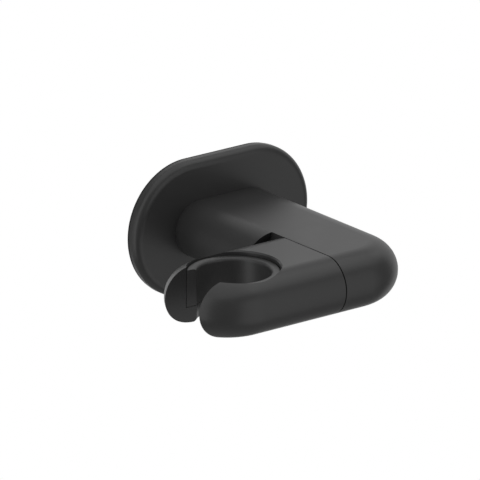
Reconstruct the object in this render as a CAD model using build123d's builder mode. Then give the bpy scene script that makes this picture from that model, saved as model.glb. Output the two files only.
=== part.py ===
from build123d import *

import os

# Hand shower holder: a wall plate with an elbow arm, and a slotted cup that swivels on the elbow.
# Millimetres. The wall is the plane Y = 0, the holder stands out towards -Y, and Z is up.
# The origin is the middle of the wall plate, on the wall.

# Wall plate and the seal behind it
plate_width = 66.6
plate_height = 43.2
plate_depth = 4.6
plate_edge_radius = 2.5
plate_rim = 3.0
seal_thickness = 0.9
seal_setback = 0.15

# Arm, elbow and the section that they share with the holder
body_thickness = 18.0
arm_width = 37.0
arm_reach = 78.1
seam_offset = 10.4

# Wall bracket: a plate on the wall and a tongue that the arm slides over
bracket_thickness = 2.6
bracket_clearance = 0.3
socket_wall = 3.0
tongue_reach = 17.0
tongue_wall = 2.8
tongue_rib = 4.0
screw_hole_radius = 2.5
countersink_radius = 4.2
screw_inset = 6.5

# Grub screw under the arm
grub_radius = 2.5
grub_reach = 11.0
grub_recess = 0.5
grub_seat_depth = 1.2
grub_key_flats = 2.5
grub_key_depth = 2.0
thread_gap = 0.05

# Swivel
holder_width = 37.4
seam_gap = 0.4
relief_clearance = 1.2
swivel_range = 40.0
stop_lug_radius = 1.3
stop_lug_length = 1.8
stop_gap = 0.3
stop_wall = 1.2

# Pivot bolt and what it carries
shoulder_radius = 4.0
bolt_thread_radius = 3.0
bolt_head_radius = 5.5
bolt_head_height = 3.2
bolt_head_recess = 1.0
bolt_key_flats = 4.0
bolt_key_depth = 1.8
bolt_edge = 0.4
insert_radius = 4.5
insert_length = 10.0
drill_allowance = 1.5
bush_wall = 1.0
bush_flange_radius = 6.5
bush_flange_recess = 1.0
washer_radius = 5.7
washer_thickness = 1.0
disc_radius = 5.6
disc_thickness = 0.6
disc_dish = 0.3
running_gap = 0.05
press_gap = 0.02
pocket_clearance = 0.4

# Cup and its liner
cup_wall = 13.65
bore_top_radius = 11.3
bore_taper = 0.2
liner_wall = 2.6
liner_gap = 0.15
liner_recess = 1.45
liner_lip = 1.0
liner_edge = 0.3
key_gap = 0.3
ledge_thickness = 4.9
ledge_round = 0.9
slot_width = 16.7
rim_depth = 0.45
rim_angle = 45.0
end_beyond_cup = 2.4

# Levels and stations worked out from the sizes above
half_thickness = body_thickness / 2
elbow_reach = arm_reach - arm_width / 2
swivel_reach = arm_reach - holder_width / 2
pocket_depth = bracket_thickness + bracket_clearance
pocket_width = plate_width - 2 * plate_rim
pocket_height = plate_height - 2 * plate_rim
socket_width = arm_width - 2 * socket_wall
socket_height = body_thickness - 2 * socket_wall
tongue_width = socket_width - 2 * bracket_clearance
tongue_height = socket_height - 2 * bracket_clearance

# Stations along the swivel axis, measured from the arm's mid-line towards the cup
liner_radius = bore_top_radius + liner_wall
cup_radius = liner_radius + liner_gap
holder_face = seam_offset + seam_gap
cup_offset = holder_face + cup_wall + cup_radius
end_offset = cup_offset + end_beyond_cup
head_top = cup_offset - cup_radius - bolt_head_recess
head_seat = head_top - bolt_head_height
disc_height = disc_thickness + disc_dish
washer_top = head_seat - 2 * disc_height
pocket_floor = washer_top - washer_thickness

# Radii about the swivel axis
relief_radius = holder_width / 2 + relief_clearance
bush_bore_radius = shoulder_radius + running_gap
bush_radius = bush_bore_radius + bush_wall
head_pocket_radius = washer_radius + pocket_clearance
stop_radius = bush_flange_radius + stop_wall + stop_gap + stop_lug_radius
stop_groove_width = 2 * (stop_lug_radius + stop_gap)

# Heights in the cup
cup_floor = ledge_thickness - half_thickness
liner_foot = cup_floor + liner_gap
liner_top = half_thickness - liner_recess
bore_bottom_radius = bore_top_radius - bore_taper

# Working planes: out from the wall, along the swivel axis, up through the cup, through the springs, and up
# through the grub screw
wall_plane = Plane.XZ
swivel_plane = Plane(origin=(0, -swivel_reach, 0), x_dir=(0, -1, 0), z_dir=(-1, 0, 0))
cup_plane = Plane(origin=(-cup_offset, -swivel_reach, 0))
swivel_axis = Axis((0, -swivel_reach, 0), (-1, 0, 0))
disc_plane = Plane(origin=(-washer_top - disc_height, -swivel_reach, 0), x_dir=(0, -1, 0), z_dir=(0, 0, 1))
grub_plane = Plane(origin=(0, -grub_reach, -half_thickness), x_dir=(1, 0, 0), z_dir=(0, 0, 1))


def half_section(width):
    """Outer half of the body's section: flat above and below, full round at its outer edge."""
    SlotOverall(width, body_thickness)
    Rectangle(width, body_thickness, align=(Align.MIN, Align.CENTER), mode=Mode.INTERSECT)


# Wall plate, arm and elbow, cast in one piece
with BuildPart() as wall_body:
    with BuildSketch(wall_plane.offset(seal_thickness)):
        SlotOverall(plate_width, plate_height)
    extrude(amount=plate_depth - seal_thickness)
    plate_front = wall_body.faces().sort_by(Axis.Y)[0]
    fillet(plate_front.edges(), plate_edge_radius)

    # The straight arm
    with BuildSketch(wall_plane.offset(plate_depth)):
        SlotOverall(arm_width, body_thickness)
    extrude(amount=elbow_reach - plate_depth)

    # The elbow's outer corner: half the section swung through a quarter turn
    with BuildSketch(wall_plane.offset(elbow_reach)):
        half_section(arm_width)
    revolve(axis=Axis((0, -elbow_reach, 0), (0, 0, -1)), revolution_arc=90)

    # The front runs on from the corner to the seam
    with BuildSketch(Plane(origin=(0, -elbow_reach, 0), x_dir=(0, -1, 0), z_dir=(-1, 0, 0))):
        half_section(arm_width)
    extrude(amount=seam_offset)

    # Hollow about the swivel axis that lets the holder's back edge turn past the arm
    with BuildSketch(swivel_plane.offset(seam_offset)):
        Circle(relief_radius)
    extrude(amount=arm_width, mode=Mode.SUBTRACT)

    # Stop lug on the seam face
    with BuildSketch(swivel_plane.offset(seam_offset)):
        with Locations((stop_radius, 0)):
            Circle(stop_lug_radius)
    extrude(amount=stop_lug_length)

    # Pocket for the bracket's plate and socket for its tongue
    with BuildSketch(wall_plane):
        SlotOverall(pocket_width, pocket_height)
    extrude(amount=pocket_depth, mode=Mode.SUBTRACT)
    with BuildSketch(wall_plane):
        SlotOverall(socket_width, socket_height)
    extrude(amount=tongue_reach + bracket_clearance, mode=Mode.SUBTRACT)

    # Blind hole for the threaded insert, and the grub screw's hole up into the socket
    with BuildSketch(swivel_plane.offset(seam_offset)):
        Circle(insert_radius + press_gap)
    extrude(amount=-(insert_length + drill_allowance), mode=Mode.SUBTRACT)
    with BuildSketch(grub_plane):
        Circle(grub_radius + thread_gap)
    extrude(amount=half_thickness, mode=Mode.SUBTRACT)

# Seal between the plate's rim and the wall
with BuildPart() as wall_seal:
    with BuildSketch(wall_plane):
        SlotOverall(plate_width - 2 * seal_setback, plate_height - 2 * seal_setback)
        SlotOverall(pocket_width, pocket_height, mode=Mode.SUBTRACT)
    extrude(amount=seal_thickness)

# Bracket on the wall: two countersunk holes, and a ribbed hollow tongue
bracket_width = pocket_width - 2 * bracket_clearance
bracket_height = pocket_height - 2 * bracket_clearance
screw_spacing = bracket_width - 2 * screw_inset
with BuildPart() as wall_bracket:
    with BuildSketch(wall_plane):
        SlotOverall(bracket_width, bracket_height)
    extrude(amount=bracket_thickness)
    with BuildSketch(wall_plane):
        SlotOverall(tongue_width, tongue_height)
    extrude(amount=tongue_reach)

    # Two hollows from the back, with a rib between them behind the grub screw
    with BuildSketch(wall_plane):
        SlotOverall(tongue_width - 2 * tongue_wall, tongue_height - 2 * tongue_wall)
        Rectangle(tongue_rib, tongue_height, mode=Mode.SUBTRACT)
    extrude(amount=tongue_reach - tongue_wall, mode=Mode.SUBTRACT)

    with Locations(wall_plane.offset(bracket_thickness)):
        with GridLocations(screw_spacing, 0, 2, 1):
            CounterSinkHole(screw_hole_radius, countersink_radius, depth=bracket_thickness)

    # Flat seat for the grub screw's point
    with BuildSketch(grub_plane.offset(half_thickness - tongue_height / 2)):
        Circle(grub_radius + bracket_clearance)
    extrude(amount=grub_seat_depth, mode=Mode.SUBTRACT)

# Grub screw with a hexagon socket, from its seat in the tongue to just inside the arm's underside
grub_top = half_thickness - tongue_height / 2 + grub_seat_depth
with BuildPart() as grub_screw:
    with BuildSketch(grub_plane.offset(grub_recess)):
        Circle(grub_radius)
    extrude(amount=grub_top - grub_recess)
    with BuildSketch(grub_plane.offset(grub_recess)):
        RegularPolygon(grub_key_flats / 2, 6, major_radius=False)
    extrude(amount=grub_key_depth, mode=Mode.SUBTRACT)

# Brass insert in the elbow, flush with the seam face
with BuildPart() as threaded_insert:
    with BuildSketch(swivel_plane.offset(seam_offset)):
        Circle(insert_radius)
        Circle(bolt_thread_radius + thread_gap, mode=Mode.SUBTRACT)
    extrude(amount=-insert_length)

# Shoulder bolt, put in through the cup: head, shoulder against the insert, thread in it
with BuildPart() as pivot_bolt:
    with BuildSketch(swivel_plane.offset(head_seat)):
        Circle(bolt_head_radius)
    extrude(amount=bolt_head_height)
    fillet(pivot_bolt.faces().sort_by(swivel_axis)[-1].edges(), bolt_edge)
    with BuildSketch(swivel_plane.offset(head_seat)):
        Circle(shoulder_radius)
    extrude(amount=-(head_seat - seam_offset))
    with BuildSketch(swivel_plane.offset(seam_offset)):
        Circle(bolt_thread_radius)
    extrude(amount=-insert_length)
    chamfer(pivot_bolt.faces().sort_by(swivel_axis)[0].edges(), bolt_edge)
    with BuildSketch(swivel_plane.offset(head_top)):
        RegularPolygon(bolt_key_flats / 2, 6, major_radius=False)
    extrude(amount=-bolt_key_depth, mode=Mode.SUBTRACT)

# Washer on the pocket's floor
with BuildPart() as flat_washer:
    with BuildSketch(swivel_plane.offset(pocket_floor)):
        Circle(washer_radius)
        Circle(bush_bore_radius, mode=Mode.SUBTRACT)
    extrude(amount=washer_thickness)

# Two dished springs, rim to rim, between the washer and the bolt's head
with BuildPart() as disc_springs:
    with BuildSketch(disc_plane):
        with BuildLine():
            Polyline(
                (bush_bore_radius, disc_dish),
                (disc_radius, 0),
                (disc_radius, disc_thickness),
                (bush_bore_radius, disc_height),
                close=True,
            )
        make_face()
    revolve(axis=swivel_axis)
    mirror(about=swivel_plane.offset(washer_top + disc_height))

# Flanged bush that the holder turns on: its flange spans the seam
with BuildPart() as swivel_bush:
    with BuildSketch(swivel_plane.offset(seam_offset)):
        Circle(bush_flange_radius)
    extrude(amount=seam_gap + bush_flange_recess)
    with BuildSketch(swivel_plane.offset(seam_offset)):
        Circle(bush_radius)
    extrude(amount=pocket_floor - seam_offset)
    with BuildSketch(swivel_plane.offset(seam_offset)):
        Circle(bush_bore_radius)
    extrude(amount=pocket_floor - seam_offset, mode=Mode.SUBTRACT)

# Path of the stop lug, seen along the swivel axis
stop_path = CenterArc((0, 0), stop_radius, -swivel_range, 2 * swivel_range)

# Holder: the same section carried along the swivel axis and swung round its free end
with BuildPart() as holder_body:
    with BuildSketch(swivel_plane.offset(holder_face)):
        SlotOverall(holder_width, body_thickness)
    extrude(amount=end_offset - holder_face)
    with BuildSketch(swivel_plane.offset(end_offset)):
        half_section(holder_width)
    revolve(axis=Axis((-end_offset, -swivel_reach, 0), (0, 0, -1)), revolution_arc=180)

    # The cup down to its ledge, and the bore on through the ledge
    with BuildSketch(cup_plane.offset(cup_floor)):
        Circle(cup_radius)
    extrude(amount=body_thickness, mode=Mode.SUBTRACT)
    with BuildSketch(cup_plane.offset(half_thickness - rim_depth)):
        Circle(cup_radius)
    extrude(amount=rim_depth, taper=-rim_angle, mode=Mode.SUBTRACT)
    with BuildSketch(cup_plane.offset(-half_thickness)):
        Circle(bore_bottom_radius)
    extrude(amount=body_thickness, mode=Mode.SUBTRACT)
    bore_edges = holder_body.faces(Select.LAST).filter_by(GeomType.CYLINDER).edges()
    fillet(bore_edges.filter_by_position(Axis.Z, -half_thickness, cup_floor, (True, False)), ledge_round)

    # Slot for the hose, out through the free end
    with BuildSketch(cup_plane.offset(-half_thickness)):
        Rectangle(holder_width, slot_width, align=(Align.MAX, Align.CENTER))
    extrude(amount=body_thickness, mode=Mode.SUBTRACT)

    # Bolt-head pocket open to the cup, bush hole, and recess for the bush's flange
    with BuildSketch(swivel_plane.offset(pocket_floor)):
        Circle(head_pocket_radius)
    extrude(amount=cup_offset - pocket_floor, mode=Mode.SUBTRACT)
    with BuildSketch(swivel_plane.offset(holder_face)):
        Circle(bush_radius + press_gap)
    extrude(amount=pocket_floor - holder_face, mode=Mode.SUBTRACT)
    with BuildSketch(swivel_plane.offset(holder_face)):
        Circle(bush_flange_radius + pocket_clearance)
    extrude(amount=bush_flange_recess, mode=Mode.SUBTRACT)

    # Curved groove that the stop lug runs in
    with BuildSketch(swivel_plane.offset(holder_face)):
        SlotArc(stop_path, stop_groove_width)
    extrude(amount=stop_lug_length, mode=Mode.SUBTRACT)

# Plastic liner: a tapered seat with a rounded lip, slotted like the cup, keyed into the bolt's pocket
with BuildPart() as cup_liner:
    with BuildSketch(cup_plane.offset(liner_foot)):
        Circle(liner_radius)
    extrude(amount=liner_top - liner_foot)
    with BuildSketch(swivel_plane.offset(head_top + key_gap)):
        Circle(washer_radius)
    extrude(amount=cup_offset - head_top - key_gap)

    # The bore: straight past the key, then widening to the lip
    with BuildSketch(cup_plane.offset(-half_thickness)):
        Circle(bore_bottom_radius)
    extrude(amount=body_thickness, mode=Mode.SUBTRACT)
    with BuildSketch(cup_plane.offset(liner_foot)):
        Circle(bore_bottom_radius)
    with BuildSketch(cup_plane.offset(liner_top)):
        Circle(bore_top_radius)
    loft(mode=Mode.SUBTRACT)
    top_edges = cup_liner.edges().group_by(Axis.Z)[-1].sort_by(SortBy.LENGTH)
    fillet(top_edges[0], liner_lip)
    fillet(top_edges[-1], liner_edge)
    with BuildSketch(cup_plane.offset(-half_thickness)):
        Rectangle(holder_width, slot_width, align=(Align.MAX, Align.CENTER))
    extrude(amount=body_thickness, mode=Mode.SUBTRACT)

pieces = {
    "wall_body": wall_body,
    "wall_seal": wall_seal,
    "wall_bracket": wall_bracket,
    "grub_screw": grub_screw,
    "threaded_insert": threaded_insert,
    "pivot_bolt": pivot_bolt,
    "flat_washer": flat_washer,
    "disc_springs": disc_springs,
    "swivel_bush": swivel_bush,
    "holder_body": holder_body,
    "cup_liner": cup_liner,
}
os.makedirs("parts", exist_ok=True)
for name, piece in pieces.items():
    piece.part.label = name
    export_step(piece.part, f"parts/{name}.step")
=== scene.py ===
import math

import bpy
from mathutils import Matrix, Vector

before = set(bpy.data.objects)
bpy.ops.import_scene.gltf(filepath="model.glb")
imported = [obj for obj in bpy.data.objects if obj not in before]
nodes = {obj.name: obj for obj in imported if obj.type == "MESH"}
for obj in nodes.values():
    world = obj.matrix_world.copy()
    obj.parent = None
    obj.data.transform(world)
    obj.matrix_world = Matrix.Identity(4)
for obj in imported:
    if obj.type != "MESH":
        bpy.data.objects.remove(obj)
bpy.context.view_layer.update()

# Hand shower holder: matt black wall plate, elbow arm and a slotted cup that swivels on the elbow.
# Metres, in the part's own frame: the wall is Y = 0, the holder stands out towards -Y, Z is up.

mm = 0.001

# View of the photograph: a long lens, from the front, the cup's side and a little above
view_azimuth = -37.57
view_elevation = 18.90
view_target = Vector((-24.3, -44.1, 10.0)) * mm
view_distance = 2562.6 * mm
lens_mm = 645.0
sensor_mm = 36.0

# Studio: a pale floor, a white card behind the holder that fills the view, and soft boxes round it
floor_drop = 2.5
floor_size = 10.0
card_distance = 5.0
card_size = 0.46
room_brightness = 0.2
box_distance = 1.4

# Soft boxes: degrees round from the front and above the level, width, height,
# and brightness, where 1 is white
soft_boxes = {
    "top_box": (0, 90, 1.95, 1.95, 0.68),
    "left_box": (-87, 8, 0.8, 2.8, 0.98),
    "back_left_box": (-120, -10, 0.6, 1.6, 0.51),
    "front_box": (17, -7, 1.55, 2.6, 0.58),
    "right_box": (80, 50, 1.2, 0.8, 0.57),
    "back_right_box": (112, 0, 1.2, 2.6, 0.44),
    "back_box": (158, 0, 1.2, 2.6, 0.53),
    "wall_box": (-172, -8, 0.8, 1.8, 0.40),
}

# Angle that a wave texture of scale 1 turns through in one metre
wave_radians = 20.0


def linear(hex_colour):
    """Linear RGBA of an sRGB hex colour."""
    channels = [int(hex_colour[i:i + 2], 16) / 255 for i in (1, 3, 5)]
    return [c / 12.92 if c <= 0.04045 else ((c + 0.055) / 1.055) ** 2.4 for c in channels] + [1.0]


def add_node(tree, kind, inputs=None, **settings):
    """Adds a node, sets its properties, and sets or links its inputs."""
    node = tree.nodes.new(kind)
    for name, value in settings.items():
        setattr(node, name, value)
    for name, value in (inputs or {}).items():
        if isinstance(value, bpy.types.NodeSocket):
            tree.links.new(value, node.inputs[name])
        else:
            node.inputs[name].default_value = value
    return node


def new_material(name):
    """A material and its empty node tree."""
    material = bpy.data.materials.new(name)
    material.use_nodes = True
    material.node_tree.nodes.clear()
    return material, material.node_tree


def finish_surface(tree, pattern, low_colour, high_colour, relief, relief_height, **sockets):
    """Ends a material: colour from a pattern, bump from a relief, and the shader's other sockets."""
    colour = add_node(tree, "ShaderNodeMix", {
        "Factor": pattern,
        "A": linear(low_colour),
        "B": linear(high_colour),
    }, data_type="RGBA")
    bump = add_node(tree, "ShaderNodeBump", {"Height": relief, "Distance": relief_height})
    shader = add_node(tree, "ShaderNodeBsdfPrincipled", {
        "Base Color": colour.outputs["Result"],
        "Normal": bump.outputs["Normal"],
        **sockets,
    })
    add_node(tree, "ShaderNodeOutputMaterial", {"Surface": shader.outputs["BSDF"]})


def matt_black_coating():
    """Matt black stoved coating on a zinc casting: a soft sheen over a fine sprayed grain."""
    patch_size = 9 * mm
    grain_size = 0.4 * mm
    grain_height = 0.003 * mm
    smooth, rough = 0.32, 0.38
    material, tree = new_material("matt_black_coating")
    place = add_node(tree, "ShaderNodeTexCoord").outputs["Object"]
    patches = add_node(tree, "ShaderNodeTexNoise", {
        "Vector": place,
        "Scale": 1 / patch_size,
        "Detail": 3.0,
    }).outputs["Fac"]
    gloss = add_node(tree, "ShaderNodeMapRange", {"Value": patches, "To Min": smooth, "To Max": rough})
    grain = add_node(tree, "ShaderNodeTexNoise", {
        "Vector": place,
        "Scale": 1 / grain_size,
        "Detail": 2.0,
    }).outputs["Fac"]
    finish_surface(tree, patches, "#343434", "#373737", grain, grain_height,
                   Roughness=gloss.outputs["Result"])
    return material


def moulded_acetal(name, dark, light):
    """Acetal as it leaves the mould: a satin skin with faint cloudy flow marks and a fine texture."""
    flow_size = 4 * mm
    texture_size = 0.35 * mm
    texture_height = 0.004 * mm
    smooth, rough = 0.33, 0.42
    material, tree = new_material(name)
    place = add_node(tree, "ShaderNodeTexCoord").outputs["Object"]
    flow = add_node(tree, "ShaderNodeTexNoise", {
        "Vector": place,
        "Scale": 1 / flow_size,
        "Distortion": 0.6,
    }).outputs["Fac"]
    gloss = add_node(tree, "ShaderNodeMapRange", {"Value": flow, "To Min": smooth, "To Max": rough})
    texture = add_node(tree, "ShaderNodeTexNoise", {"Vector": place, "Scale": 1 / texture_size})
    finish_surface(tree, flow, dark, light, texture.outputs["Fac"], texture_height,
                   Roughness=gloss.outputs["Result"], IOR=1.48)
    return material


def black_rubber():
    """Cut sheet rubber: dull black, with small pores and a dusty bloom in patches."""
    bloom_size = 6 * mm
    pore_size = 0.5 * mm
    pore_depth = 0.03 * mm
    material, tree = new_material("black_rubber")
    place = add_node(tree, "ShaderNodeTexCoord").outputs["Object"]
    bloom = add_node(tree, "ShaderNodeTexNoise", {
        "Vector": place,
        "Scale": 1 / bloom_size,
        "Detail": 4.0,
    }).outputs["Fac"]
    pores = add_node(tree, "ShaderNodeTexVoronoi", {"Vector": place, "Scale": 1 / pore_size})
    finish_surface(tree, bloom, "#161616", "#232323", pores.outputs["Distance"], pore_depth,
                   Roughness=0.8, IOR=1.52)
    return material


def cast_aluminium():
    """Aluminium as it leaves the die: grey and dull, with flow patches and a fine sandy grain."""
    patch_size = 7 * mm
    grain_size = 0.4 * mm
    grain_height = 0.03 * mm
    dull, bright = 0.60, 0.45
    material, tree = new_material("cast_aluminium")
    place = add_node(tree, "ShaderNodeTexCoord").outputs["Object"]
    patches = add_node(tree, "ShaderNodeTexNoise", {
        "Vector": place,
        "Scale": 1 / patch_size,
        "Distortion": 1.0,
    }).outputs["Fac"]
    gloss = add_node(tree, "ShaderNodeMapRange", {"Value": patches, "To Min": dull, "To Max": bright})
    grain = add_node(tree, "ShaderNodeTexNoise", {
        "Vector": place,
        "Scale": 1 / grain_size,
        "Detail": 3.0,
    }).outputs["Fac"]
    finish_surface(tree, patches, "#9c9ea0", "#b4b6b8", grain, grain_height,
                   Metallic=1.0, Roughness=gloss.outputs["Result"])
    return material


def turned_metal(name, groove, crest, axis):
    """Metal turned on a lathe: bright, with fine tool rings along the axis, drawn coarser than real."""
    ring_pitch = 0.3 * mm
    ring_height = 0.01 * mm
    dull, bright = 0.36, 0.24
    material, tree = new_material(name)
    place = add_node(tree, "ShaderNodeTexCoord").outputs["Object"]
    rings = add_node(tree, "ShaderNodeTexWave", {
        "Vector": place,
        "Scale": math.tau / (wave_radians * ring_pitch),
        "Distortion": 0.4,
    }, bands_direction=axis).outputs["Fac"]
    gloss = add_node(tree, "ShaderNodeMapRange", {"Value": rings, "To Min": dull, "To Max": bright})
    finish_surface(tree, rings, groove, crest, rings, ring_height,
                   Metallic=1.0, Roughness=gloss.outputs["Result"])
    return material


def give(material, *names):
    """Puts one material on CAD nodes."""
    for name in names:
        slots = nodes[name].data.materials
        slots.clear()
        slots.append(material)


def stand_off(azimuth, elevation, distance, target):
    """Point at a distance from the target, at an angle round from the front and above the level."""
    around = math.radians(azimuth)
    above = math.radians(elevation)
    away = Vector((
        math.sin(around) * math.cos(above),
        -math.cos(around) * math.cos(above),
        math.sin(above),
    ))
    return target + away * distance


def aim(thing, target):
    """Turns a lamp, camera or card at its target."""
    thing.rotation_euler = (target - thing.location).to_track_quat("-Z", "Y").to_euler()


def pale_floor():
    """Plain pale floor, well below the holder."""
    material, tree = new_material("pale_floor")
    paint = add_node(tree, "ShaderNodeBsdfDiffuse", {"Color": linear("#e6e6e6")})
    add_node(tree, "ShaderNodeOutputMaterial", {"Surface": paint.outputs["BSDF"]})
    bpy.ops.mesh.primitive_plane_add(size=floor_size, location=(0, 0, -floor_drop))
    floor = bpy.context.object
    floor.name = "floor"
    floor.data.materials.append(material)


def white_card():
    """White card behind the holder: white to the eye and in reflections, and plain paint as a light."""
    material, tree = new_material("white_card")
    path = add_node(tree, "ShaderNodeLightPath").outputs
    direct = add_node(tree, "ShaderNodeMath", {
        0: path["Is Camera Ray"],
        1: path["Is Glossy Ray"],
    }, operation="MAXIMUM")
    shown = add_node(tree, "ShaderNodeMath", {
        0: direct.outputs["Value"],
        1: path["Is Transmission Ray"],
    }, operation="MAXIMUM")
    paint = add_node(tree, "ShaderNodeBsdfDiffuse", {"Color": linear("#f2f2f2")})
    glow = add_node(tree, "ShaderNodeEmission", {"Color": linear("#ffffff"), "Strength": 1.0})
    mix = add_node(tree, "ShaderNodeMixShader", {
        0: shown.outputs["Value"],
        1: paint.outputs["BSDF"],
        2: glow.outputs["Emission"],
    })
    add_node(tree, "ShaderNodeOutputMaterial", {"Surface": mix.outputs["Shader"]})
    behind = stand_off(view_azimuth + 180, -view_elevation, card_distance, view_target)
    bpy.ops.mesh.primitive_plane_add(size=card_size, location=behind)
    card = bpy.context.object
    card.name = "white_card"
    aim(card, view_target)
    card.data.materials.append(material)


def room_and_lamps():
    """Dim plain room and the soft boxes."""
    world = bpy.data.worlds.new("room")
    bpy.context.scene.world = world
    world.use_nodes = True
    tree = world.node_tree
    tree.nodes.clear()
    room = add_node(tree, "ShaderNodeBackground", {"Color": linear("#ffffff"), "Strength": room_brightness})
    add_node(tree, "ShaderNodeOutputWorld", {"Surface": room.outputs["Background"]})

    for name, (azimuth, elevation, width, height, brightness) in soft_boxes.items():
        lamp = bpy.data.lights.new(name, "AREA")
        lamp.shape = "RECTANGLE"
        lamp.size = width
        lamp.size_y = height
        # Power at which the face of the box is as bright as its number says
        lamp.energy = brightness * math.pi * width * height
        stand = bpy.data.objects.new(name, lamp)
        bpy.context.scene.collection.objects.link(stand)
        stand.location = stand_off(azimuth, elevation, box_distance, view_target)
        aim(stand, view_target)


def camera():
    """Camera at the photograph's angle."""
    lens = bpy.data.cameras.new("camera")
    lens.lens = lens_mm
    lens.sensor_width = sensor_mm
    eye = bpy.data.objects.new("camera", lens)
    bpy.context.scene.collection.objects.link(eye)
    eye.location = stand_off(view_azimuth, view_elevation, view_distance, view_target)
    aim(eye, view_target)
    bpy.context.scene.camera = eye


give(matt_black_coating(), "wall_body", "holder_body")
give(moulded_acetal("black_acetal", "#383838", "#3f3f3f"), "cup_liner")
give(moulded_acetal("ivory_acetal", "#e6e1d4", "#f0ece2"), "swivel_bush")
give(black_rubber(), "wall_seal")
give(cast_aluminium(), "wall_bracket")
give(turned_metal("turned_brass", "#b08a45", "#d2ae66", "X"), "threaded_insert")
give(turned_metal("turned_steel", "#9c9da0", "#c2c3c5", "X"), "pivot_bolt", "flat_washer", "disc_springs")
give(turned_metal("turned_screw_steel", "#9c9da0", "#c2c3c5", "Z"), "grub_screw")

pale_floor()
white_card()
room_and_lamps()
camera()
bpy.context.scene.view_settings.view_transform = "Standard"
